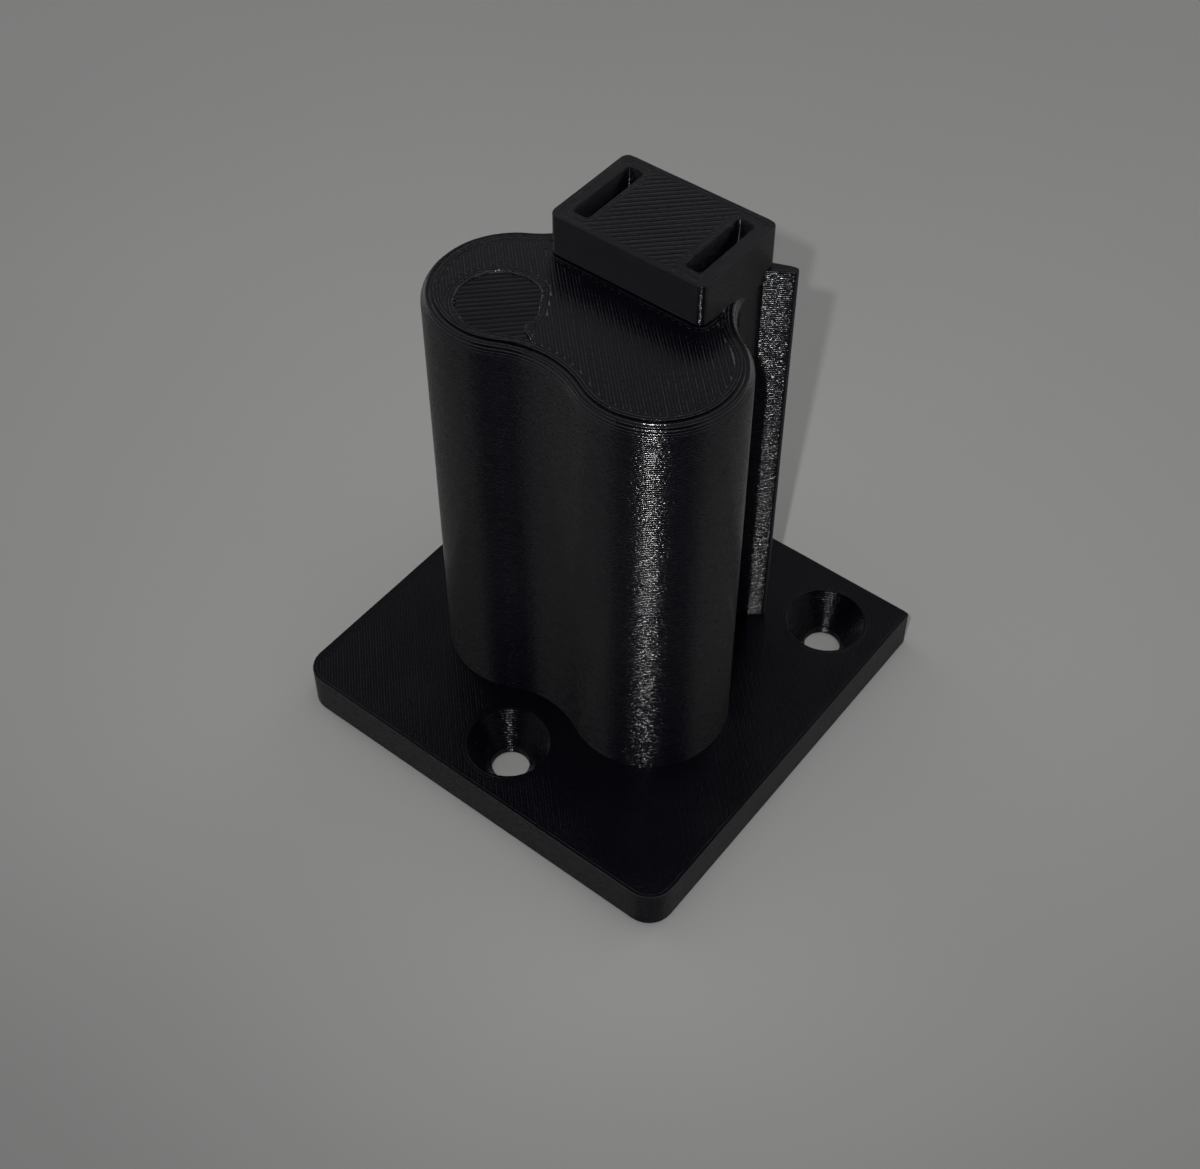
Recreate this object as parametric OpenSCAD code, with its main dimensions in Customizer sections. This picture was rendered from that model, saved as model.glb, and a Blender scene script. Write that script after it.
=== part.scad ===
// Wall mount for a cordless power tool that takes a stem-type three-cell battery.
// The tool's empty battery socket slides down over the three-lobed stem and hangs there.
// Origin: middle of the plate's underside. +Z runs out along the stem, the plate's front edge is -Y.

/* [Screw plate] */
// Width of the plate
plate_w = 60; // [56:1:90]
// Depth of the plate, front edge to rear edge
plate_d = 59.2; // [58:0.2:90]
// Thickness of the plate
plate_t = 6; // [4:0.5:12]
// Radius of the plate's two front corners; the rear corners are square
plate_corner_r = 3.5; // [1:0.5:8]

/* [Screw holes] */
// Diameter of the screw's shank hole
screw_d = 5; // [3:0.1:6]
// Diameter of the countersink at the top of the plate
countersink_d = 11; // [8:0.5:12]
// Straight length of the shank hole at the underside
screw_land = 1; // [0.6:0.1:2]
// Front hole's distance from the front edge
front_screw_inset = 8.1; // [6.5:0.1:9]
// Rear holes' distance from the rear edge
rear_screw_inset = 8.2; // [6.5:0.1:9]
// Rear holes' distance from the side edges
side_screw_inset = 8.7; // [6.5:0.1:12]

/* [Stem] */
// Height of the stem above the plate
stem_h = 61.6; // [40:0.1:90]
// Width over the stem's flat sides, the rear lobe and the head
stem_w = 22; // [20:0.5:24]
// Radius of the two front lobes
lobe_r = 10.75; // [9.5:0.05:11.5]
// Distance between the middles of the front lobes
lobe_spacing = 20.8; // [19:0.1:22]
// Distance of the front lobes' middles ahead of the plate's middle
lobe_offset = 5; // [4:0.1:6]
// Radius of the hollow between the front lobes
dip_r = 11.4; // [8:0.1:16]
// Radius of the hollow between a front lobe and the flat side
flank_r = 9; // [5:0.1:10]
// Rounding of the stem's top edge
rim_r = 1.5; // [0.6:0.1:2]
// Height of one printed layer, the step in which the top edge is rounded
layer_h = 0.3; // [0.15:0.05:0.3]

/* [Head] */
// Height of the head above the stem
head_h = 5.8; // [3:0.1:10]
// Depth of the head, front to rear
head_d = 14.7; // [12:0.1:15]
// Distance from the front lobes' middles back to the head's front
head_setback = 7.3; // [6:0.1:8]
// Radius of the head's upright edges
head_corner_r = 1; // [0.2:0.1:1.5]

/* [Contact slots] */
// Width of a slot
slot_w = 2.4; // [1.6:0.1:3]
// Length of a slot
slot_l = 10.8; // [8:0.1:11]
// Depth of a slot below the head's top
slot_depth = 8; // [4:0.5:20]
// Wall between a slot and the head's side
slot_wall = 1.85; // [1.2:0.05:3]
// Radius of a slot's upright corners
slot_corner_r = 0.4; // [0.2:0.1:0.8]

/* [Side rails] */
// Thickness of a rail at its root inside the stem
rail_root_t = 2.6; // [1.8:0.1:3]
// Radius of a rail's rounded outer edge
rail_nose_r = 0.6; // [0.3:0.05:0.8]
// How far the middle of that rounding stands out of the stem's flat side
rail_reach = 2.4; // [1.5:0.1:5]
// How far it lies behind the middle of the root
rail_sweep = 2.7; // [0:0.05:3]
// Distance of the root's middle behind the middle of the rear lobe
rail_setback = 1.5; // [1:0.1:3]

/* [Top recess] */
// Radius of the recess in the left lobe's top
recess_r = 5.3; // [4:0.1:6]
// Middle of the recess, left of the plate's middle
recess_left = 10.1; // [9:0.1:11]
// Middle of the recess, ahead of the front lobes' middles
recess_ahead = 2.9; // [2:0.1:4]
// Distance of the straight right side from the middle of the recess
recess_side = 4.8; // [3:0.05:5]
// Slope of the straight right side
recess_slope = 57.5; // [45:0.5:75]
// Slope of the short front side, which runs out to the stem's edge
recess_front_slope = 20; // [5:1:35]
// Width of the narrow wall left between the recess and the stem's rounded top edge
recess_wall = 0.2; // [0.1:0.05:0.6]

/* [Hidden] */
$fn = 96;
eps = 0.01;
plastic = [0.035, 0.035, 0.038];

half_w = stem_w / 2;
stem_top = plate_t + stem_h;
head_top = stem_top + head_h;
lobe_x = lobe_spacing / 2;
lobe_y = -lobe_offset;
head_y = lobe_y + head_setback;
screw_r = screw_d / 2;
countersink_r = countersink_d / 2;
rim_steps = ceil(rim_r / layer_h);
recess_depth = layer_h;

// The hollow between the front lobes is centred where its arc touches both lobes.
dip_y = lobe_y - sqrt(pow(lobe_r + dip_r, 2) - pow(lobe_x, 2));

// The flank's hollow touches the front lobe and runs out into the flat side.
flank_x = half_w + flank_r;
flank_y = lobe_y + sqrt(pow(lobe_r + flank_r, 2) - pow(flank_x - lobe_x, 2));

// Three cells in a triangle: the rear lobe is as far from the front ones as they are apart.
rear_y = max(flank_y, lobe_y + lobe_spacing * sqrt(3) / 2);

// Screw places: one in front, two at the rear
screw_places = [
    [0, front_screw_inset - plate_d / 2],
    [side_screw_inset - plate_w / 2, plate_d / 2 - rear_screw_inset],
    [plate_w / 2 - side_screw_inset, plate_d / 2 - rear_screw_inset]
];

// Inset of the top edge at one layer, counted down from the top
function rim_inset(step) = rim_r - sqrt(pow(rim_r, 2) - pow(max(0, rim_r - step * layer_h), 2));

// Upright box with four rounded upright edges, centred on the Z axis
module rounded_box(width, depth, height, radius) {
    translate([-width / 2, radius - depth / 2, 0]) cube([width, depth - 2 * radius, height]);
    translate([radius - width / 2, -depth / 2, 0]) cube([width - 2 * radius, depth, height]);
    for (sx = [-1, 1], sy = [-1, 1])
        translate([sx * (width / 2 - radius), sy * (depth / 2 - radius), 0]) cylinder(h = height, r = radius);
}

// Screw plate with two rounded front corners
module plate() {
    side = plate_w / 2 - plate_corner_r;
    front = plate_corner_r - plate_d / 2;
    difference() {
        union() {
            translate([-plate_w / 2, front, 0]) cube([plate_w, plate_d - plate_corner_r, plate_t]);
            translate([-side, -plate_d / 2, 0]) cube([2 * side, plate_d, plate_t]);
            for (sx = [-1, 1]) translate([sx * side, front, 0]) cylinder(h = plate_t, r = plate_corner_r);
        }
        for (place = screw_places) translate(place) screw_hole();
    }
}

// Countersunk hole: a short straight shank hole, then a cone up to the plate's top
module screw_hole() {
    slope = (countersink_r - screw_r) / (plate_t - screw_land);
    translate([0, 0, -eps]) cylinder(h = plate_t, r = screw_r);
    translate([0, 0, screw_land])
        cylinder(h = plate_t - screw_land + eps, r1 = screw_r, r2 = countersink_r + slope * eps);
}

// Outline of the stem, drawn in by an inset all round: every convex arc gets smaller by it
// and every hollow arc larger, about the same middles.
module stem_outline(inset) {
    side = half_w - inset;
    for (sx = [-1, 1]) {
        translate([sx * lobe_x, lobe_y]) circle(r = lobe_r - inset);
        difference() {
            polygon([[0, lobe_y], [sx * lobe_x, lobe_y], [sx * flank_x, flank_y], [0, flank_y]]);
            translate([sx * flank_x, flank_y]) circle(r = flank_r + inset);
        }
    }
    difference() {
        polygon([[-lobe_x, lobe_y], [0, dip_y], [lobe_x, lobe_y]]);
        translate([0, dip_y]) circle(r = dip_r + inset);
    }
    translate([-side, flank_y - eps]) square([2 * side, rear_y - flank_y + eps]);
    translate([0, rear_y]) circle(r = side);
}

// Three-lobed stem, whose top edge is rounded in steps of one printed layer
module stem() {
    straight_h = stem_h - rim_steps * layer_h;
    translate([0, 0, plate_t - eps]) linear_extrude(straight_h + eps) stem_outline(0);
    for (step = [0 : rim_steps - 1])
        translate([0, 0, stem_top - (step + 1) * layer_h - eps])
            linear_extrude(layer_h + eps) stem_outline(rim_inset(step));
}

// Head: a block as wide as the stem. It is carried down past the rounded rim, so its sides
// run on flush into the stem's flat sides.
module head() {
    foot = rim_steps * layer_h + eps;
    translate([0, head_y + head_d / 2, stem_top - foot])
        rounded_box(stem_w, head_d, head_h + foot, head_corner_r);
}

// Pair of deep slots that the tool's contact blades enter
module contact_slots() {
    for (sx = [-1, 1])
        translate([sx * (half_w - slot_wall - slot_w / 2), head_y + head_d / 2, head_top - slot_depth])
            rounded_box(slot_w, slot_l, slot_depth + eps, slot_corner_r);
}

// Guide rail on the stem's right side, from the plate to the stem's top. It turns to the rear
// and gets thinner towards its rounded outer edge.
module rail() {
    root_x = half_w - stem_w / 8;
    root_y = rear_y + rail_setback;
    translate([0, 0, plate_t - eps]) linear_extrude(stem_h + eps) hull() {
        translate([root_x, root_y - rail_root_t / 2]) square([eps, rail_root_t]);
        translate([half_w + rail_reach, root_y + rail_sweep]) circle(r = rail_nose_r, $fn = 32);
    }
}

// Shallow recess in the left lobe's top, one layer deep: round at the left and rear, straight and
// sloping at the right. Its front side slopes out and then follows the stem's rounded top edge.
// The front side starts a little inside the round part, because outlines that only touch each
// other don't cut cleanly.
module top_recess() {
    translate([0, 0, stem_top - recess_depth]) linear_extrude(recess_depth + eps)
        intersection() {
            stem_outline(rim_r + recess_wall);
            translate([-recess_left, lobe_y - recess_ahead]) difference() {
                union() {
                    circle(r = recess_r);
                    rotate(-recess_front_slope) translate([-0.3, -recess_r + 0.02])
                        square([2 * recess_r, recess_r]);
                }
                rotate(90 - recess_slope) translate([recess_side, -3 * recess_r])
                    square(6 * recess_r);
            }
        }
}

module tool_mount() {
    color(plastic) difference() {
        union() {
            plate();
            stem();
            head();
            rail();
            mirror([1, 0, 0]) rail();
        }
        contact_slots();
        top_recess();
    }
}

tool_mount();
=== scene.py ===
"""Dresses the power tool mount as the black 3D print that the photograph shows.

The solid of the frame gives the overall size. Its looks are rebuilt here as the printer laid them
down: walls of stacked layers whose sides bulge a little, and top faces of parallel lines inside a
few outline beads. All sizes are in millimetres until a mesh is made.
"""

from __future__ import annotations

import logging
import math
from dataclasses import dataclass, field, replace
from enum import Enum
from typing import Callable, Iterable, Sequence

import bpy
import numpy as np
from mathutils import Matrix, Vector
from mathutils.geometry import tessellate_polygon

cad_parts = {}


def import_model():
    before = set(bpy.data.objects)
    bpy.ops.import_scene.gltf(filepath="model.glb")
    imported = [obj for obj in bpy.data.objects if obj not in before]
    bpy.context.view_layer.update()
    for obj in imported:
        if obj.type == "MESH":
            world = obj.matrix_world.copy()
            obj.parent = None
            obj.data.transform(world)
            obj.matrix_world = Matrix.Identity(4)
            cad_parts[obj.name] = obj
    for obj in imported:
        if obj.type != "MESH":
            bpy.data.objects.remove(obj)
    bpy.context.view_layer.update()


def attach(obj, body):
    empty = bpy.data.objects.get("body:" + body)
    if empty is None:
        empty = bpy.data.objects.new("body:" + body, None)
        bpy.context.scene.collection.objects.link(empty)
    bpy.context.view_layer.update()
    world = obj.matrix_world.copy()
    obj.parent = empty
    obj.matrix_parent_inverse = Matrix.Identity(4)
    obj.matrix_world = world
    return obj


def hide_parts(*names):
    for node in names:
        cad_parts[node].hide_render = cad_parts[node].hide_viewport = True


log = logging.getLogger("tool_mount")

MM = 0.001
NODE = "tool_mount"
BODY = "root"
UP = np.array([0.0, 0.0, 1.0])

Loop = np.ndarray
Ring = np.ndarray
Pair = tuple[float, float]
Triple = tuple[float, float, float]
Keep = Callable[[Loop], np.ndarray]
Sockets = dict[str | int, object]


class LineRun(Enum):
    """Direction in plan, in degrees, in which a top face was filled."""

    RISING = 45.0
    FALLING = 135.0


# Outlines


def arc(centre: Sequence[float], radius: float, start: float, end: float, count: int) -> Loop:
    """Points along an arc between two angles in degrees, without its last point."""
    angle = np.radians(start + (end - start) * np.arange(count) / count)
    return np.stack([centre[0] + radius * np.cos(angle), centre[1] + radius * np.sin(angle)], -1)


def rounded_rectangle(
    centre: Sequence[float],
    size: Sequence[float],
    radii: Sequence[float],
    inset: float = 0.0,
    step: float = 2.5,
    corner_points: int = 5,
) -> Loop:
    """Counter-clockwise rectangle with rounded corners.

    Args:
        centre: Middle of the rectangle.
        size: Width and depth before the inset.
        radii: Corner radii, from the front left one counter-clockwise.
        inset: How far the outline is drawn in.
        step: Longest stretch between points on a straight edge.
        corner_points: Number of points on each corner.

    Returns:
        The outline. The number of points doesn't depend on a small inset.
    """
    tightest = 0.05
    half = np.array([size[0] / 2 - inset, size[1] / 2 - inset])
    signs = [(-1, -1), (1, -1), (1, 1), (-1, 1)]
    corners = []
    for (sx, sy), radius, first in zip(signs, radii, (180, 270, 0, 90)):
        r = max(radius - inset, tightest)
        middle = (centre[0] + sx * (half[0] - r), centre[1] + sy * (half[1] - r))
        corners.append(arc(middle, r, first, first + 90 * (1 + 1 / (corner_points - 1)), corner_points))
    counts = [max(1, round(length / step)) for length in (size[0], size[1], size[0], size[1])]
    out = []
    for k, corner in enumerate(corners):
        after = corners[(k + 1) % 4][0]
        share = (np.arange(1, counts[k]) / counts[k])[:, None]
        out += [corner, corner[-1] + (after - corner[-1]) * share]
    return np.concatenate(out)


def circle(centre: Sequence[float], radius: float, count: int = 56) -> Loop:
    """Counter-clockwise circle."""
    return arc(centre, radius, 0, 360, count)


def unit(rows: np.ndarray) -> np.ndarray:
    """The vectors, one row each, at a length of 1."""
    return rows / np.maximum(np.linalg.norm(rows, axis=1, keepdims=True), 1e-9)


def side_normals(loop: Loop) -> Loop:
    """Unit vectors that point out of a counter-clockwise loop, one for each point."""
    tangent = np.roll(loop, -1, 0) - np.roll(loop, 1, 0)
    return unit(np.stack([tangent[:, 1], -tangent[:, 0]], -1))


def inside(points: Loop, loop: Loop) -> np.ndarray:
    """Tests points against a loop.

    Args:
        points: The points, one row each.
        loop: Closed outline.

    Returns:
        True for each point that lies inside.
    """
    x, y = points[:, 0:1], points[:, 1:2]
    ax, ay = loop[:, 0], loop[:, 1]
    bx, by = np.roll(ax, -1), np.roll(ay, -1)
    crosses = (ay > y) != (by > y)
    rise = np.where(np.abs(by - ay) < 1e-12, 1e-12, by - ay)
    left = x < (bx - ax) * (y - ay) / rise + ax
    return (crosses & left).sum(1) % 2 == 1


def resampled(path: Loop, step: float, closed: bool) -> Loop:
    """The same path with points at even distances.

    Args:
        path: Points along the path.
        step: Wanted distance between points.
        closed: Whether the path returns to its first point.

    Returns:
        The new points; those of a closed path don't repeat the first one.
    """
    full = np.vstack([path, path[:1]]) if closed else path
    along = np.concatenate([[0.0], np.cumsum(np.linalg.norm(np.diff(full, axis=0), axis=1))])
    count = max(2, round(along[-1] / step) + 1)
    at = np.linspace(0, along[-1], count)
    if closed:
        at = at[:-1]
    return np.stack([np.interp(at, along, full[:, k]) for k in (0, 1)], -1)


def line_spans(loop: Loop, normal: np.ndarray, run: np.ndarray, offset: float) -> list[Pair]:
    """Stretches of a straight line that lie inside a loop.

    Args:
        loop: Closed outline.
        normal: Unit vector across the line.
        run: Unit vector along the line.
        offset: Distance of the line from the origin, along normal.

    Returns:
        Pairs of distances along run.
    """
    height = loop @ normal - offset
    after = np.roll(height, -1)
    hit = (height > 0) != (after > 0)
    share = height[hit] / (height[hit] - after[hit])
    at = loop @ run
    cuts = np.sort(at[hit] + (np.roll(at, -1)[hit] - at[hit]) * share)
    return list(zip(cuts[0::2], cuts[1::2]))


def without(spans: list[Pair], holes: list[Pair]) -> list[Pair]:
    """Takes holes out of stretches of a line.

    Args:
        spans: The stretches.
        holes: Stretches to take out.

    Returns:
        What is left of the spans.
    """
    for low, high in holes:
        left = [(a, min(b, low)) for a, b in spans if a < low]
        right = [(max(a, high), b) for a, b in spans if b > high]
        spans = left + right
    return spans


# Mesh making


@dataclass
class Surface:
    """Collects the points and faces of one piece, in millimetres."""

    points: list[np.ndarray] = field(default_factory=list)
    quads: list[np.ndarray] = field(default_factory=list)
    quad_normals: list[np.ndarray] = field(default_factory=list)
    triangles: list[np.ndarray] = field(default_factory=list)
    creases: list[np.ndarray] = field(default_factory=list)
    total: int = 0

    def add(self, points: np.ndarray) -> np.ndarray:
        """Adds points.

        Args:
            points: The points, one row each.

        Returns:
            Their indices.
        """
        self.points.append(np.asarray(points, float))
        first = self.total
        self.total += len(points)
        return np.arange(first, self.total)

    def ring(self, loop: Loop, height: float | np.ndarray) -> Ring:
        """Adds a loop at a height and returns its indices."""
        return self.add(np.column_stack([loop, np.broadcast_to(height, len(loop))]))

    def bridge(
        self, lower: Ring, upper: Ring, below: np.ndarray | None = None, above: np.ndarray | None = None
    ) -> None:
        """Joins two rings of the same count by a band of quads.

        Args:
            lower: Indices of the lower ring.
            upper: Indices of the upper ring.
            below: Surface normals wanted along the lower ring; none for automatic ones.
            above: The same for the upper ring.
        """
        self.quads.append(np.stack([lower, np.roll(lower, -1), np.roll(upper, -1), upper], -1))
        shown = np.zeros((len(lower), 4, 3))
        if below is not None and above is not None:
            shown = np.stack([below, np.roll(below, -1, 0), np.roll(above, -1, 0), above], 1)
        self.quad_normals.append(shown)

    def crease(self, ring: Ring) -> None:
        """Keeps the edges of a ring sharp."""
        self.creases.append(np.stack([ring, np.roll(ring, -1)], -1))

    def cap(self, rings: Sequence[Ring], up: bool) -> None:
        """Closes a flat face between rings.

        Args:
            rings: Indices of the outer ring and of any holes in it.
            up: Whether the face looks up.
        """
        place = np.concatenate(self.points)
        outlines = [[Vector((*place[i][:2], 0.0)) for i in ring] for ring in rings]
        faces = np.array([tuple(t) for t in tessellate_polygon(outlines)])
        index = np.concatenate(rings)[faces]
        a, b, c = (place[index[:, k]][:, :2] for k in range(3))
        turn = (b - a)[:, 0] * (c - a)[:, 1] - (b - a)[:, 1] * (c - a)[:, 0]
        kept = np.abs(turn) > 1e-9
        index = np.where(((turn > 0) == up)[:, None], index, index[:, ::-1])
        self.triangles.append(index[kept])
        for ring in rings:
            self.crease(ring)

    def build(self, name: str) -> bpy.types.Object:
        """Makes the object, in metres, with smooth faces and the kept creases.

        Args:
            name: The object's name.

        Returns:
            The object, linked into the scene.
        """
        place = np.concatenate(self.points) * MM
        faces = [tuple(f) for part in self.quads for f in part.tolist()]
        faces += [tuple(f) for part in self.triangles for f in part.tolist()]
        mesh = bpy.data.meshes.new(name)
        mesh.from_pydata(place.tolist(), [], faces)
        mesh.polygons.foreach_set("use_smooth", [True] * len(mesh.polygons))
        if self.creases:
            self._mark_sharp(mesh)
        mesh.update()
        if any(part.any() for part in self.quad_normals):
            wanted = [part.reshape(-1, 3) for part in self.quad_normals]
            wanted.append(np.zeros((3 * sum(len(part) for part in self.triangles), 3)))
            mesh.normals_split_custom_set(np.concatenate(wanted).tolist())
        obj = bpy.data.objects.new(name, mesh)
        bpy.context.scene.collection.objects.link(obj)
        return obj

    def _mark_sharp(self, mesh: bpy.types.Mesh) -> None:
        """Writes the creases to a mesh.

        Args:
            mesh: The mesh whose edges are marked sharp.
        """
        wanted = np.sort(np.concatenate(self.creases), 1)
        ends = np.empty(len(mesh.edges) * 2, np.int32)
        mesh.edges.foreach_get("vertices", ends)
        ends = np.sort(ends.reshape(-1, 2), 1)
        scale = len(mesh.vertices) + 1
        keys = ends[:, 0] * scale + ends[:, 1].astype(np.int64)
        sharp = np.isin(keys, wanted[:, 0] * scale + wanted[:, 1])
        layer = mesh.attributes.new("sharp_edge", "BOOLEAN", "EDGE")
        layer.data.foreach_set("value", sharp)


@dataclass
class Wander:
    """Seeded small unevenness, smooth along a path and new in each layer."""

    seed: int

    def __post_init__(self) -> None:
        self.source = np.random.default_rng(self.seed)

    def along(self, count: int, smooth: int) -> np.ndarray:
        """Values from 0 to about 1 along a closed path.

        Args:
            count: Number of points of the path.
            smooth: Over how many points the values are averaged.

        Returns:
            One value for each point.
        """
        raw = self.source.normal(size=count)
        weight = np.exp(-0.5 * (np.fft.fftfreq(count) * smooth * 2.5) ** 2)
        value = np.real(np.fft.ifft(np.fft.fft(raw) * weight))
        spread = value.std() or 1.0
        return np.clip(0.5 + 0.25 * (value - value.mean()) / spread, 0, 1)

    def one(self, low: float, high: float) -> float:
        """One value between two limits."""
        return float(self.source.uniform(low, high))

    def either(self, limit: float) -> float:
        """One value up to a limit on either side of 0."""
        return self.one(-limit, limit)


@dataclass(frozen=True)
class LayerShape:
    """Round side of a printed layer."""

    height: float = 0.3
    half_angle: float = 58.0
    places: tuple[float, ...] = (-1.0, -0.27, 0.42, 1.0)
    wander: float = 0.008
    wander_points: int = 9
    tread: float = 0.04

    def profile(self) -> list[tuple[float, float, float]]:
        """Height share, depth and tilt at a few places up the side of a layer.

        Returns:
            One row for each place.
        """
        steepest = math.sin(math.radians(self.half_angle))
        radius = self.height / 2 / steepest
        rows = []
        for place in self.places:
            angle = math.radians(self.half_angle * place)
            rows.append((0.5 + math.sin(angle) / steepest / 2, radius * (1 - math.cos(angle)), angle))
        return rows


@dataclass
class LayerWall:
    """A wall of stacked layers, each a bead with a rounded side."""

    surface: Surface
    wander: Wander
    shape: LayerShape = LayerShape()

    def stack(
        self, outline: Callable[[int, float], Loop], bottom: float, top: float, hole: bool = False
    ) -> tuple[Ring, Ring]:
        """Lays layers from bottom to top.

        Args:
            outline: Gives the outline of a layer, by its number from the bottom, and an inset.
            bottom: Height of the first layer's underside.
            top: Height of the last layer's top.
            hole: Whether the wall goes round a hole, so its bulges point to the middle.

        Returns:
            The indices of the lowest and the highest ring.
        """
        count = max(1, round((top - bottom) / self.shape.height))
        rise = (top - bottom) / count
        sign = -1.0 if hole else 1.0
        first = last = last_normals = None
        for k in range(count):
            plain = outline(k, 0.0)
            wave = self.wander.along(len(plain), self.shape.wander_points) + self.wander.one(0, 1)
            wave *= self.shape.wander / 2
            rows = self.shape.profile()
            stepped = k == count - 1 or np.abs(outline(k + 1, 0.0) - plain).max() > self.shape.tread
            if not stepped:
                rows = rows[:-1]
            for place, (share, depth, tilt) in enumerate(rows):
                loop = outline(k, sign * depth)
                loop = loop - side_normals(loop) * (wave * sign)[:, None]
                if hole:
                    loop = loop[::-1]
                side = np.column_stack([side_normals(loop), np.zeros(len(loop))])
                normals = math.cos(tilt) * side + math.sin(tilt) * UP
                ring = self.surface.ring(loop, bottom + (k + share) * rise)
                if last is not None:
                    # A layer's first ring also ends the one below, whose side leans the other way.
                    above = normals * [1, 1, -1] if place == 0 else normals
                    self.surface.bridge(last, ring, last_normals, above)
                if place == 0:
                    self.surface.crease(ring)
                first = ring if first is None else first
                last, last_normals = ring, normals
            if stepped:
                self.surface.crease(last)
                last_normals = None
        return first, last


@dataclass(frozen=True)
class BeadShape:
    """Cross-section of a bead that shows on a top face."""

    width: float = 0.42
    crest: float = 0.045
    sunk: float = 0.008
    step: float = 1.6
    slope: float = 26.0
    places: tuple[float, ...] = (-1.0, -0.76, -0.42, 0.0, 0.42, 0.76, 1.0)
    end_reach: float = 0.8
    end_width: float = 0.45
    turn_width: float = 0.9
    line_sway: float = 0.02
    outline_sway: float = 0.03
    end_shift: float = 0.05
    unevenness: float = 0.008
    uneven_lean: float = 0.3

    def section(self) -> list[tuple[float, float, float]]:
        """Offset across the bead, height over its bed and tilt, from one edge to the other.

        Returns:
            One row for each place.
        """
        half = self.width / 2
        rows = []
        for share in self.places:
            height = self.crest - (self.crest + self.sunk) * abs(share) ** 4
            rows.append((half * share, height, math.radians(self.slope) * share**3))
        return rows


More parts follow.
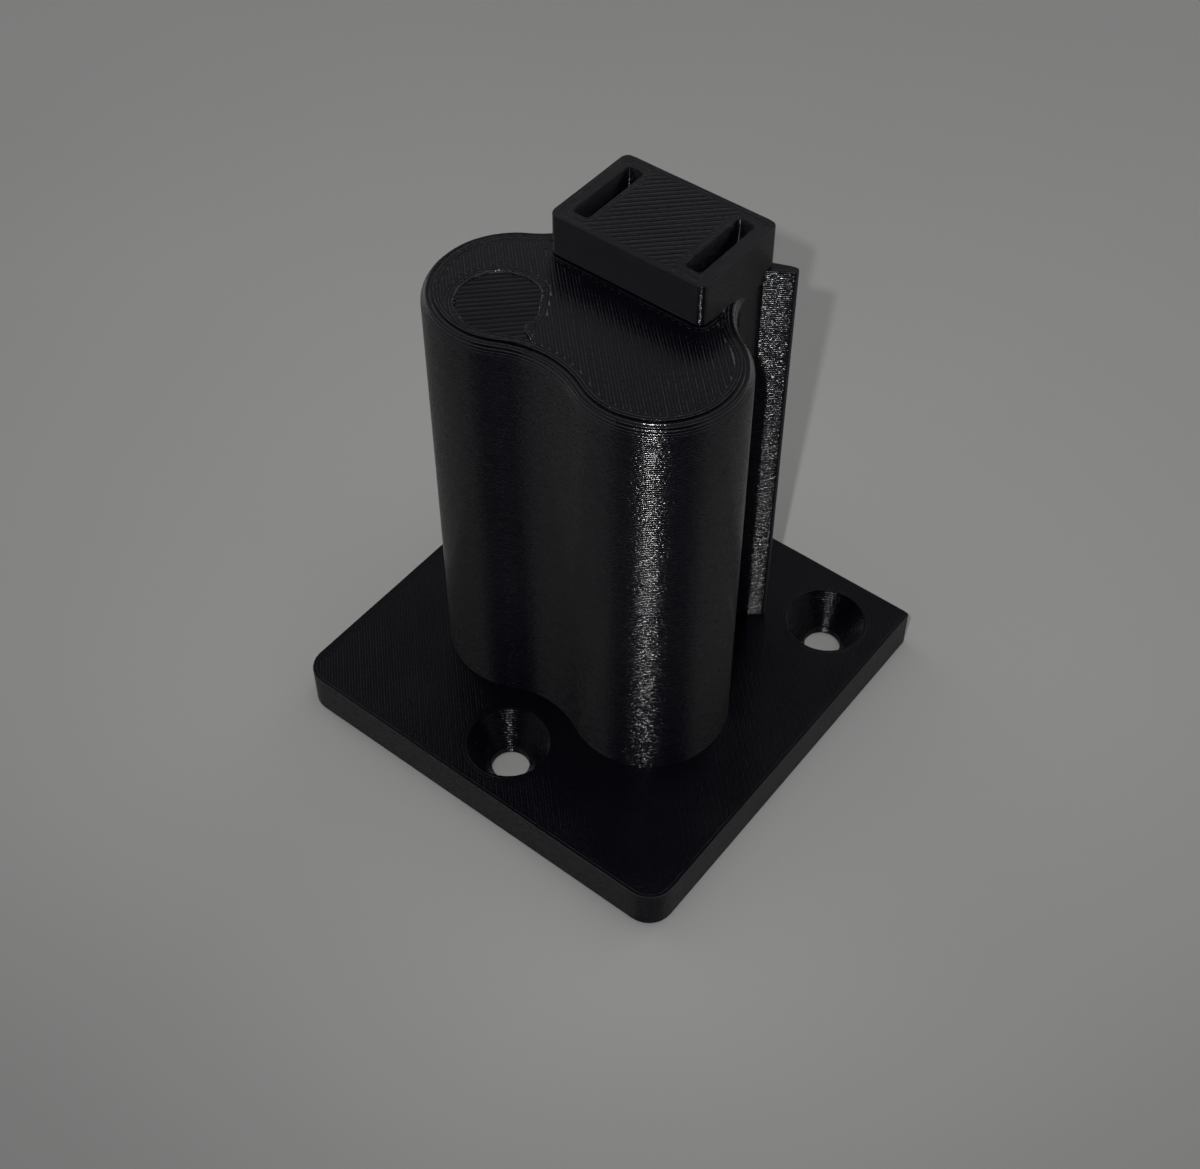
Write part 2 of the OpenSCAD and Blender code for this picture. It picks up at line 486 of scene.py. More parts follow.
@dataclass
class BeadLayer:
    """Beads laid on a flat bed."""

    surface: Surface
    wander: Wander
    bed: float
    shape: BeadShape = BeadShape()

    def open_bead(self, path: Loop, width: float = 1.0, lift: float = 0.0, lean: float = 0.0) -> None:
        """Lays a bead with rounded ends along a path.

        Args:
            path: Points along the bead's middle.
            width: Width as a share of the usual one.
            lift: Height over the usual one.
            lean: How far the bead is tipped over to its right, in degrees.
        """
        if len(path) < 2:
            return
        run = unit(np.gradient(path, axis=0))
        reach = self.shape.width * width / 2 * self.shape.end_reach
        head, tail = path[0] - run[0] * reach, path[-1] + run[-1] * reach
        path = np.vstack([head, path, tail])
        run = np.vstack([run[:1], run, run[-1:]])
        girth = np.ones(len(path))
        girth[[0, -1]] = self.shape.end_width
        self._sweep(path, run, girth * width, lift, closed=False, lean=math.radians(lean))

    def closed_bead(self, path: Loop) -> None:
        """Lays a bead that returns to its start."""
        run = unit(np.roll(path, -1, 0) - np.roll(path, 1, 0))
        self._sweep(path, run, np.ones(len(path)), 0.0, closed=True)

    def _sweep(
        self, path: Loop, run: Loop, girth: np.ndarray, lift: float, closed: bool, lean: float = 0.0
    ) -> None:
        """Sweeps the section along a path.

        Args:
            path: Points along the bead's middle.
            run: Unit vectors along the path.
            girth: Width at each point, as a share of the usual one.
            lift: Height over the usual one.
            closed: Whether the bead returns to its start.
            lean: How far it is tipped over to its right, in radians.
        """
        across = np.stack([run[:, 1], -run[:, 0]], -1)
        section = np.array(self.shape.section())
        offset, tall, tilt = section.T
        tilt = tilt + lean
        rings, normals = [], []
        for point, side, size in zip(path, across, girth):
            height = np.where(tall > 0, tall * min(1.0, size) + lift, tall)
            height = height - offset * size * math.tan(lean)
            rings.append(self.surface.ring(point + side * (offset * size)[:, None], self.bed + height))
            sideways = np.sin(tilt)[:, None] * np.array([*side, 0.0])
            normals.append(sideways + np.cos(tilt)[:, None] * UP)
        if closed:
            rings.append(rings[0])
            normals.append(normals[0])
        for k in range(1, len(rings)):
            self.surface.bridge(rings[k - 1], rings[k], normals[k - 1], normals[k])
            # The last quad of the band is the bead's flat underside.
            self.surface.quad_normals[-1][-1] = -UP
        if not closed:
            for ring, flip in ((rings[0], True), (rings[-1], False)):
                fan = np.array([[ring[0], ring[k], ring[k + 1]] for k in range(1, len(ring) - 1)])
                self.surface.triangles.append(fan[:, ::-1] if flip else fan)

    def outline_bead(self, loop: Loop, keep: Keep | None = None) -> None:
        """Lays a bead along an outline, only where it is wanted.

        Args:
            loop: Closed path.
            keep: Says for each point whether the bead is wanted there.
        """
        path = resampled(loop, self.shape.step * 0.5, True)
        sway = self.shape.outline_sway * (self.wander.along(len(path), 5) - 0.5)
        path = path + side_normals(path) * sway[:, None]
        wanted = np.ones(len(path), bool) if keep is None else keep(path)
        if wanted.all():
            self.closed_bead(path)
            return
        if not wanted.any():
            return
        start = int(np.argmin(wanted))
        path, wanted = np.roll(path, -start, 0), np.roll(wanted, -start)
        edges = np.flatnonzero(np.diff(np.concatenate([[0], wanted.astype(int), [0]])))
        for a, b in zip(edges[0::2], edges[1::2]):
            if b - a > 2:
                self.open_bead(path[a:b])

    def fill(self, area: Loop, holes: Sequence[Loop], run: LineRun, pitch: float, lean: float) -> None:
        """Fills an area with parallel beads that turn back at its border.

        Args:
            area: Outline of the area.
            holes: Outlines left free in it.
            run: Direction of the beads.
            pitch: Distance between beads.
            lean: How far beads are tipped over, to one side and the other in turn, in degrees.
        """
        angle = math.radians(run.value)
        along = np.array([math.cos(angle), math.sin(angle)])
        normal = np.array([-along[1], along[0]])
        reach = area @ normal
        shape, draw = self.shape, self.wander.either
        before: list[Pair] = []
        for row, offset in enumerate(np.arange(reach.min() + pitch / 2, reach.max(), pitch)):
            spans = line_spans(area, normal, along, offset)
            for hole in holes:
                spans = without(spans, line_spans(hole, normal, along, offset))
            spans = [(a, b) for a, b in spans if b - a > shape.width]
            lift = self.wander.one(-shape.unevenness, 0.0)
            tip = lean * ((1 if row % 2 else -1) + draw(shape.uneven_lean))
            for a, b in spans:
                a += draw(shape.end_shift)
                b += draw(shape.end_shift)
                at = np.linspace(a, b, max(2, round((b - a) / shape.step) + 1))
                sway = np.zeros(len(at))
                if len(at) > 3:
                    sway = shape.line_sway * (self.wander.along(len(at), 3) - 0.5)
                path = at[:, None] * along + (offset + sway)[:, None] * normal
                self.open_bead(path, lift=lift, lean=tip)
            end, last = row % 2, offset - pitch
            for a, b in [(old[end], span[end]) for span in spans for old in before]:
                if abs(a - b) < 3 * pitch:
                    # Neighbouring rows end close to each other here, so the nozzle turned back.
                    turn = np.stack([a * along + last * normal, b * along + (last + pitch) * normal])
                    self.open_bead(turn, width=shape.turn_width, lift=draw(shape.unevenness / 2))
            before = spans


@dataclass
class Crumbs:
    """Small blobs and threads of plastic that the nozzle leaves behind."""

    surface: Surface
    wander: Wander
    smallest: float = 0.06
    largest: float = 0.17
    sunk: float = 0.5
    flatness: float = 0.95
    shift: float = 0.1

    def blob(self, place: Sequence[float], radius: float, tall: float) -> None:
        """Adds a closed blob about a place.

        Args:
            place: The blob's middle.
            radius: Its radius in plan.
            tall: Its height over its middle.
        """
        around = circle((0, 0), radius, 8)
        rings = []
        for rise in np.radians([-60.0, -20.0, 20.0, 60.0]):
            loop = place[:2] + around * math.cos(rise)
            rings.append(self.surface.ring(loop, place[2] + tall * math.sin(rise)))
        self._close(rings, [*place[:2], place[2] - tall], [*place[:2], place[2] + tall])

    def thread(self, path: np.ndarray, radius: float) -> None:
        """Adds a thin closed thread.

        Args:
            path: Points in space along its middle.
            radius: Its radius.
        """
        run = unit(np.gradient(path, axis=0))
        side = unit(np.cross(run, UP))
        lift = np.cross(run, side)
        turns = np.radians(np.arange(0, 360, 60))[:, None]
        rings = []
        for point, across, up in zip(path, side, lift):
            rings.append(self.surface.add(point + radius * (np.cos(turns) * across + np.sin(turns) * up)))
        self._close(rings, path[0] - run[0] * radius, path[-1] + run[-1] * radius)

    def scatter(
        self, loop: Loop, height: float, spacing: float, spread: float, keep: Keep | None = None
    ) -> None:
        """Scatters blobs beside a closed path on a top face.

        Args:
            loop: The path.
            height: Height of the face.
            spacing: Mean distance between blobs along the path.
            spread: How far from the path they lie.
            keep: Says for each point whether a blob is wanted there.
        """
        path = resampled(loop, spacing, True)
        wanted = np.ones(len(path), bool) if keep is None else keep(path)
        for point, side in zip(path[wanted], side_normals(path)[wanted]):
            share = self.wander.one(0, 1)
            radius = self.smallest + (self.largest - self.smallest) * share**2
            aside = side * self.wander.either(spread)
            stray = [self.wander.either(self.shift), self.wander.either(self.shift)]
            middle = [*(point + (aside + stray)), height - radius * self.sunk]
            self.blob(middle, radius, radius * self.flatness)

    def _close(self, rings: Sequence[Ring], start: Sequence[float], end: Sequence[float]) -> None:
        """Joins rings one to the next, and each end ring to a point.

        Args:
            rings: Indices of the rings.
            start: Point that closes the first one.
            end: Point that closes the last one.
        """
        for low, high in zip(rings, rings[1:]):
            self.surface.bridge(low, high)
        for ring, place in ((rings[0][::-1], start), (rings[-1], end)):
            point = np.full(len(ring), self.surface.add(np.array([place]))[0])
            self.surface.triangles.append(np.stack([ring, np.roll(ring, -1), point], -1))


# Shader maths


class Value:
    """A shader socket that takes part in Python expressions."""

    def __init__(self, tree: bpy.types.NodeTree, socket: bpy.types.NodeSocket) -> None:
        self.tree = tree
        self.socket = socket

    def _math(self, operation: str, other: Value | float) -> Value:
        """Adds a Math node over this value and another."""
        return node(self.tree, "ShaderNodeMath", {"operation": operation}, {0: self, 1: other})

    def __add__(self, other: Value | float) -> Value:
        """Sum."""
        return self._math("ADD", other)

    __radd__ = __add__

    def __sub__(self, other: Value | float) -> Value:
        """Difference."""
        return self._math("SUBTRACT", other)

    def __rsub__(self, other: Value | float) -> Value:
        """Difference from a number."""
        return self * -1.0 + other

    def __mul__(self, other: Value | float) -> Value:
        """Product."""
        return self._math("MULTIPLY", other)

    __rmul__ = __mul__

    def vector(self, operation: str, other: Sequence[float] | None = None, output: str | int = 0) -> Value:
        """Result of a Vector Math node over this vector and perhaps a constant one."""
        sockets = {0: self} if other is None else {0: self, 1: tuple(other)}
        return node(self.tree, "ShaderNodeVectorMath", {"operation": operation}, sockets, output)

    def dot(self, other: Sequence[float]) -> Value:
        """Dot product with a constant vector."""
        return self.vector("DOT_PRODUCT", other, "Value")

    def mixed(self, low: Value | Triple, high: Value | Triple) -> Value:
        """Colour between two others: the first where this value is 0, the second where it is 1."""
        low, high = (c if isinstance(c, Value) else (*c, 1.0) for c in (low, high))
        return node(self.tree, "ShaderNodeMix", {"data_type": "RGBA"}, {0: self, 6: low, 7: high}, 2)

    def noise(self, scale: float, detail: float, squeeze: float = 1.0) -> Value:
        """Noise at this position, drawn out along the layers where it is squeezed in height."""
        place = self if squeeze == 1.0 else self.vector("MULTIPLY", (1.0, 1.0, squeeze))
        return node(self.tree, "ShaderNodeTexNoise", {}, {"Vector": place, "Scale": scale, "Detail": detail})

    def spread(self, low: float, high: float, new_low: float = 0.0, new_high: float = 1.0) -> Value:
        """Maps one range to another and clamps it."""
        sockets = {"Value": self, "From Min": low, "From Max": high, "To Min": new_low, "To Max": new_high}
        return node(self.tree, "ShaderNodeMapRange", {"clamp": True}, sockets, "Result")


def set_inputs(made: bpy.types.Node, sockets: Sockets) -> None:
    """Fills sockets of a node.

    Args:
        made: The node.
        sockets: Values or links, by socket name or number.
    """
    for name, value in sockets.items():
        if isinstance(value, Value):
            made.id_data.links.new(value.socket, made.inputs[name])
        else:
            made.inputs[name].default_value = value


def node(
    tree: bpy.types.NodeTree,
    kind: str,
    settings: dict[str, object] | None = None,
    sockets: Sockets | None = None,
    output: str | int = 0,
) -> Value:
    """Adds any node.

    Args:
        tree: Tree that the node goes into.
        kind: The node's type.
        settings: Attributes, set before the sockets.
        sockets: Values or links, by socket name or number.
        output: The output that is wanted.

    Returns:
        The wanted output.
    """
    made = tree.nodes.new(kind)
    for name, value in (settings or {}).items():
        setattr(made, name, value)
    set_inputs(made, sockets or {})
    return Value(tree, made.outputs[output])


@dataclass(frozen=True)
class PrintedPlastic:
    """Black filament as printed: a satin skin over fine layers."""

    name: str = "printed_black"
    dark: Triple = (0.0007, 0.0005, 0.0016)
    light: Triple = (0.0011, 0.0009, 0.0022)
    smooth: float = 0.13
    rough: float = 0.22
    shine: float = 0.28
    stroke_share: float = 0.6
    fine_share: float = 0.3
    grain_depth: float = 0.95
    grain_height: float = 0.05 * MM
    top_grain: float = 0.3

    def build(self) -> bpy.types.Material:
        """Makes the material.

        Returns:
            The material.
        """
        material = bpy.data.materials.new(self.name)
        material.use_nodes = True
        tree = material.node_tree
        place = node(tree, "ShaderNodeTexCoord", output="Object")
        cloud = place.noise(scale=70.0, detail=3.0)
        stroke = place.noise(scale=150.0, detail=2.0, squeeze=22.0)
        dashes = place.noise(scale=2000.0, detail=1.0, squeeze=3.4)
        grain = place.noise(scale=5200.0, detail=2.0) * self.fine_share + dashes
        rise = node(tree, "ShaderNodeTexCoord", output="Normal").dot(UP)
        grain = (grain - 0.5 * (1 + self.fine_share)) * rise.spread(0.88, 0.96, 1.0, self.top_grain)
        patches = stroke * self.stroke_share + cloud * (1 - self.stroke_share)
        relief = {"Strength": self.grain_depth, "Distance": self.grain_height, "Height": grain}
        sockets = {
            "Base Color": cloud.spread(0.35, 0.7).mixed(self.dark, self.light),
            "Roughness": patches.spread(0.3, 0.7, self.smooth, self.rough),
            "Normal": node(tree, "ShaderNodeBump", None, relief, "Normal"),
            "IOR": 1.5,
            "Specular IOR Level": self.shine,
        }
        set_inputs(tree.nodes["Principled BSDF"], sockets)
        material.diffuse_color = (*self.light, 1.0)
        return material


# The printed pieces


@dataclass(frozen=True)
class Printing:
    """What all pieces of the print share."""

    layer: LayerShape = LayerShape()
    bead: BeadShape = BeadShape()
    line_pitch: float = 0.381
    outline_pitch: float = 0.4
    outlines: int = 2
    edge_gap: float = 0.04
    top_gap: float = 0.004
    turn_share: float = 0.3

    @property
    def fill_inset(self) -> float:
        """Distance from an edge to where the filling lines turn back."""
        return self.outlines * self.outline_pitch + self.edge_gap + self.bead.width * self.turn_share

    def bed(self, top: float) -> float:
        """Height of the bed under the top beads."""
        return top - self.bead.crest - self.top_gap

    def insets(self) -> list[float]:
        """Distances from an edge to the middles of its outline beads."""
        return [(k + 0.5) * self.outline_pitch + self.edge_gap for k in range(self.outlines)]

    def wall(self, surface: Surface, seed: int) -> LayerWall:
        """What lays the walls of a piece."""
        return LayerWall(surface, Wander(seed), self.layer)

    def lines(self, surface: Surface, seed: int, top: float, **changes: float) -> BeadLayer:
        """What lays the lines under a top height, with any changes to the usual bead on its bed."""
        return BeadLayer(surface, Wander(seed), self.bed(top), replace(self.bead, **changes))


@dataclass
class ScrewPlate:
    """Base plate with three countersunk screw holes."""

    printing: Printing
    width: float = 60.0
    depth: float = 59.2
    thickness: float = 6.0
    front_radius: float = 3.5
    rear_radius: float = 0.5
    shank_radius: float = 2.5
    countersink_radius: float = 5.5
    land: float = 1.0
    line_crest: float = 0.032
    line_slope: float = 13.0
    line_lean: float = 0.5
    holes: tuple[Pair, ...] = ((0.0, -21.5), (-21.3, 21.4), (21.3, 21.4))

    def outline(self, inset: float = 0.0) -> Loop:
        """Outline of the plate."""
        radii = (self.front_radius, self.front_radius, self.rear_radius, self.rear_radius)
        return rounded_rectangle((0, 0), (self.width, self.depth), radii, inset, step=1.6, corner_points=8)

    def hole_radius(self, layer: int) -> float:
        """Radius of a screw hole in one layer.

        Args:
            layer: The layer's number, counted from the bottom.

        Returns:
            The radius.
        """
        middle = (layer + 0.5) * self.printing.layer.height
        slope = (self.countersink_radius - self.shank_radius) / (self.thickness - self.land)
        return self.shank_radius + max(0.0, middle - self.land) * slope

    def body(self) -> bpy.types.Object:
        """The plate up to the bed of its top lines.

        Returns:
            The piece.
        """
        surface = Surface()
        wall = self.printing.wall(surface, seed=11)
        top = self.printing.bed(self.thickness)
        ends = [wall.stack(lambda k, inset: self.outline(inset), 0.0, top)]
        for centre in self.holes:
            ends.append(self._hole(wall, centre, top))
        surface.cap([low for low, high in ends], up=False)
        surface.cap([high for low, high in ends], up=True)
        return surface.build("plate")

    def _hole(self, wall: LayerWall, centre: Pair, top: float) -> tuple[Ring, Ring]:
        """Lays the wall of a screw hole and returns its lowest and highest ring."""
        return wall.stack(lambda k, inset: circle(centre, self.hole_radius(k) - inset), 0.0, top, hole=True)

    def top_lines(self, stem_foot: Loop) -> bpy.types.Object:
        """The lines on the plate's top face.

        Args:
            stem_foot: Outline of the stem, drawn in a little, under which no line is needed.

        Returns:
            The piece.
        """
        printing = self.printing
        surface = Surface()
        flat = {"crest": self.line_crest, "slope": self.line_slope}
        beads = printing.lines(surface, 12, self.thickness, **flat)
        rim = self.hole_radius(round(self.thickness / printing.layer.height) - 1)
        for inset in printing.insets():
            beads.outline_bead(self.outline(inset))
            for centre in self.holes:
                beads.outline_bead(circle(centre, rim + inset, 90))
        keep_out = [circle(c, rim + printing.fill_inset, 90) for c in self.holes] + [stem_foot]
        area = self.outline(printing.fill_inset)
        beads.fill(area, keep_out, LineRun.FALLING, printing.line_pitch, self.line_lean)
        return surface.build("plate_top_lines")


@dataclass
class Stem:
    """Three-lobed stem with flat sides, a stepped rim and a shallow recess in its top."""

    printing: Printing
    foot: float = 6.0
    top: float = 67.6
    width: float = 22.0
    lobe_radius: float = 10.75
    lobe_x: float = 10.4
    lobe_y: float = -5.0
    dip_radius: float = 11.4
    flank_radius: float = 9.0
    rim_radius: float = 1.5
    recess_centre: Pair = (-10.1, -7.9)
    recess_radius: float = 5.3
    recess_side: float = 4.8
    recess_slope: float = 57.5
    recess_front_slope: float = 20.0
    recess_wall: float = 0.2
    recess_draft: float = 0.1
    recess_line_slope: float = 11.0
    recess_line_lean: float = 3.0
    clearance: float = 0.1
    tread_gaps: Pair = (0.06, 0.1)
    line_lean: float = 1.2
    fleck_places: tuple[Pair, ...] = (
        (-7, 32), (2, 25), (-17, 37), (1, 21), (-8, 58), (-22, 64), (-45, 59), (-13, 29)
    )
    fleck_sizes: Pair = (0.09, 0.14)
    fleck_reach: float = 0.03
    crumbs_right: float = 2.6
    crumbs_ahead: float = 2.2
    ledge_drop: float = 0.12

    def __post_init__(self) -> None:
        half = self.width / 2
        self.lobe = (self.lobe_x, self.lobe_y)
        self.dip_y = self.lobe_y - math.sqrt((self.lobe_radius + self.dip_radius) ** 2 - self.lobe_x**2)
        self.flank_x = half + self.flank_radius
        reach = self.lobe_radius + self.flank_radius
        self.flank_y = self.lobe_y + math.sqrt(reach**2 - (self.flank_x - self.lobe_x) ** 2)
        self.rear_y = self.lobe_y + 2 * self.lobe_x * math.sqrt(3) / 2

    def outline(self, inset: float = 0.0) -> Loop:
        """Outline of the stem: dip, right lobe, right flank, rear lobe, left flank, left lobe.

        Args:
            inset: How far it is drawn in.

        Returns:
            The outline, counter-clockwise.
        """
        half = self.width / 2 - inset
        dip_turn = math.degrees(math.atan2(self.lobe_y - self.dip_y, self.lobe_x))
        flank_turn = math.degrees(math.atan2(self.flank_y - self.lobe_y, self.flank_x - self.lobe_x))
        right = [
            arc((0, self.dip_y), self.dip_radius + inset, 90, dip_turn, 6),
            arc(self.lobe, self.lobe_radius - inset, dip_turn - 180, flank_turn, 34),
            arc((self.flank_x, self.flank_y), self.flank_radius + inset, flank_turn + 180, 180, 10),
            np.array([[half, self.flank_y]]),
            arc((0, self.rear_y), half, 0, 90, 17),
        ]
        side = np.concatenate(right)
        return np.concatenate([side, [[0, self.rear_y + half]], (side[1:] * [-1, 1])[::-1]])

    def rim_inset(self, steps_down: int) -> float:
        """Inset of a layer near the top, counted down from the top one."""
        fall = max(0.0, self.rim_radius - steps_down * self.printing.layer.height)
        return self.rim_radius - math.sqrt(self.rim_radius**2 - fall**2)

    def recess(self, inset: float = 0.0) -> Loop:
        """Outline of the recess, found along rays from its middle.

        Args:
            inset: How far it is drawn in.

        Returns:
            The outline, counter-clockwise.
        """
        turn = math.radians(90 - self.recess_slope)
        front = math.radians(-self.recess_front_slope)
        angle = np.radians(np.arange(0, 360, 3.0))
        reach = np.arange(0.0, 12.0, 0.02)
        rays = np.stack([np.cos(angle), np.sin(angle)], -1)
        place = rays[:, None, :] * reach[None, :, None]
        along = place @ [math.cos(front), math.sin(front)]
        ahead = place @ [math.sin(front), -math.cos(front)]
        radius = self.recess_radius - inset
        sloped = (along >= 0) & (ahead >= 0) & (ahead <= radius)
        kept = (reach <= radius) | sloped
        kept &= place @ [math.cos(turn), math.sin(turn)] <= self.recess_side - inset
        border = self.outline(self.rim_radius + self.recess_wall + max(inset, -self.recess_wall))
        flat = (place + self.recess_centre).reshape(-1, 2)
        kept &= inside(flat, border).reshape(kept.shape)
        furthest = reach[kept.cumprod(axis=1).sum(axis=1) - 1]
        return resampled(rays * furthest[:, None] + self.recess_centre, 0.5, True)

    def body(self) -> bpy.types.Object:
        """The stem up to the bed of its top lines.

        Returns:
            The piece.
        """
        surface = Surface()
        wall = self.printing.wall(surface, seed=21)
        layer = self.printing.layer
        bottom = self.foot - layer.height
        top = self.printing.bed(self.top)
        count = round((top - bottom) / layer.height)
        low, high = wall.stack(
            lambda k, inset: self.outline(inset + self.rim_inset(count - 1 - k)), bottom, top
        )
        surface.cap([low], up=False)
        recess = self._recess_walls(surface, top)
        surface.cap([high, recess], up=True)
        return surface.build("stem")

    def _recess_walls(self, surface: Surface, top: float) -> np.ndarray:
        """Cuts the recess into the bed.

        Args:
            surface: The stem's surface.
            top: Height of the bed.

        Returns:
            The indices of its upper ring.
        """
        loop = self.recess()
        foot = loop - side_normals(loop) * self.recess_draft
        lower = surface.ring(foot[::-1], top - self.printing.layer.height)
        upper = surface.ring(loop[::-1], top)
        surface.bridge(lower, upper)
        surface.cap([lower], up=True)
        return upper

    def top_lines(self, head: Head) -> bpy.types.Object:
        """The lines on the stem's top face, round the head's foot and in the recess.

        Args:
            head: The head, whose foot is left free.

        Returns:
            The piece.
        """
        printing = self.printing
        surface = Surface()
        edge = self.rim_inset(0)
        foot = head.outline(0.0)
        beads = printing.lines(surface, 22, self.top)
        clear = self.outline(edge + self.clearance)

        def free(points: Loop) -> np.ndarray:
            """True for each point on the open top face."""
            return ~inside(points, foot) & inside(points, clear)

        for inset in printing.insets():
            beads.outline_bead(self.outline(edge + inset), free)
            beads.outline_bead(self.recess(-inset), free)
            beads.outline_bead(head.outline(-inset), free)
        keep_out = [self.recess(-printing.fill_inset), head.outline(-printing.fill_inset)]
        area = self.outline(edge + printing.fill_inset)
        beads.fill(area, keep_out, LineRun.FALLING, printing.line_pitch, self.line_lean)
        depth = printing.layer.height
        floor = printing.lines(surface, 23, self.top - depth, slope=self.recess_line_slope)
        area = self.recess(inset=0.1)
        floor.fill(area, [], LineRun.RISING, printing.line_pitch, self.recess_line_lean)
        self._rim_beads(surface)
        self._crumbs(surface, free)
        return surface.build("stem_top_lines")

    def _crumbs(self, surface: Surface, free: Keep) -> None:
        """Crumbs at the right, in front and all round the recess, and along the stem's edge.

        Args:
            surface: Surface of the top lines.
            free: Says for each point whether it lies on the open top face.
        """
        crumbs = Crumbs(surface, Wander(25))
        right = self.recess_centre[0] + self.crumbs_right
        front = self.recess_centre[1] - self.crumbs_ahead
        rim = self.recess(inset=-0.1)
        crumbs.scatter(rim, self.top, spacing=0.24, spread=0.2, keep=lambda at: at[:, 0] > right)
        ledge = self.recess(inset=0.1)
        height = self.top - self.ledge_drop
        crumbs.scatter(ledge, height, spacing=0.2, spread=0.14, keep=lambda at: at[:, 1] < front)
        crumbs.scatter(self.recess(inset=-0.15), self.top, spacing=0.8, spread=0.2)
        edge = self.outline(inset=self.rim_inset(0) + 0.5)
        crumbs.scatter(edge, self.top, spacing=1.1, spread=0.3, keep=free)

    def flecks(self) -> bpy.types.Object:
        """A few blobs on the right lobe's wall.

        Returns:
            The piece.
        """
        surface = Surface()
        crumbs = Crumbs(surface, Wander(26))
        for turn, height in self.fleck_places:
            size = crumbs.wander.one(*self.fleck_sizes)
            place = arc(self.lobe, self.lobe_radius + self.fleck_reach, turn, turn, 1)[0]
            crumbs.blob([*place, height], size, size)
        return surface.build("stem_flecks")

    def _rim_beads(self, surface: Surface) -> None:
        """Beads on the tread under the top layer.

        Args:
            surface: Surface of the top lines.
        """
        printing = self.printing
        inner, outer = self.rim_inset(0), self.rim_inset(1)
        tread = printing.lines(surface, 24, self.top - printing.layer.height)
        near, far = self.tread_gaps
        tread.outline_bead(self.outline(outer + printing.outline_pitch / 2 + near))
        tread.outline_bead(self.outline((inner + outer + printing.outline_pitch) / 2 + far))


@dataclass
class Head:
    """Block on the stem with the two contact slots."""

    printing: Printing
    bottom: float = 66.0
    top: float = 73.4
    width: float = 22.0
    depth: float = 14.7
    centre_y: float = 9.65
    corner_radius: float = 1.0
    slot_width: float = 2.4
    slot_length: float = 10.8
    slot_depth: float = 8.0
    slot_x: float = 7.95
    slot_radius: float = 0.4
    slot_floor: float = 0.6
    foot_inset: float = 0.2
    line_lean: float = 3.8
    crumb_room: float = 0.094
    crumbs_beside: float = 5.2

    @property
    def face(self) -> float:
        """Height of the top lines' crests, a little lower than the crumbs on them."""
        return self.top - self.crumb_room

    def outline(self, inset: float = 0.0) -> Loop:
        """Outline of the head."""
        radii = (self.corner_radius,) * 4
        return rounded_rectangle((0, self.centre_y), (self.width, self.depth), radii, inset, step=1.2)

    def slot(self, side: int, inset: float = 0.0) -> Loop:
        """Outline of one slot.

        Args:
            side: 1 for the right slot, -1 for the left one.
            inset: How far it is drawn in; a negative one makes it larger.

        Returns:
            The outline, counter-clockwise.
        """
        radii = (self.slot_radius,) * 4
        size = (self.slot_width, self.slot_length)
        return rounded_rectangle((side * self.slot_x, self.centre_y), size, radii, inset, step=1.2)

    def body(self) -> bpy.types.Object:
        """The head up to the bed of its top lines, with the slots' walls and floors.

        Returns:
            The piece.
        """
        surface = Surface()
        wall = self.printing.wall(surface, seed=31)
        top = self.printing.bed(self.face)
        floor = self.top - self.slot_depth
        bottom = floor - self.slot_floor
        low, high = wall.stack(lambda k, inset: self.outline(inset + self._sunk(k, bottom)), bottom, top)
        rims = []
        for side in (-1, 1):
            slot_low, slot_high = wall.stack(
                lambda k, inset, s=side: self.slot(s, inset), floor, top, hole=True
            )
            surface.cap([slot_low], up=True)
            rims.append(slot_high)
        surface.cap([low], up=False)
        surface.cap([high, *rims], up=True)
        return surface.build("head")

    def _sunk(self, layer: int, bottom: float) -> float:
        """Keeps the hidden foot of the head inside the stem's walls."""
        return self.foot_inset if bottom + layer * self.printing.layer.height < self.bottom else 0.0

    def top_lines(self) -> bpy.types.Object:
        """The lines on the head's top face.

        Returns:
            The piece.
        """
        printing = self.printing
        surface = Surface()
        beads = printing.lines(surface, 32, self.face)
        for inset in printing.insets():
            beads.outline_bead(self.outline(inset))
            for side in (-1, 1):
                beads.outline_bead(self.slot(side, -inset))
        keep_out = [self.slot(side, -printing.fill_inset) for side in (-1, 1)]
        area = self.outline(printing.fill_inset)
        beads.fill(area, keep_out, LineRun.RISING, printing.line_pitch, self.line_lean)
        crumbs = Crumbs(surface, Wander(33), smallest=0.09, largest=0.2)
        crumbs.scatter(
            self.outline(inset=0.5),
            self.face,
            spacing=0.32,
            spread=0.2,
            keep=lambda at: np.abs(at[:, 0]) > self.crumbs_beside,
        )
        for side in (-1, 1):
            crumbs.scatter(self.slot(side, inset=-0.4), self.face, spacing=0.7, spread=0.15)
        return surface.build("head_top_lines")


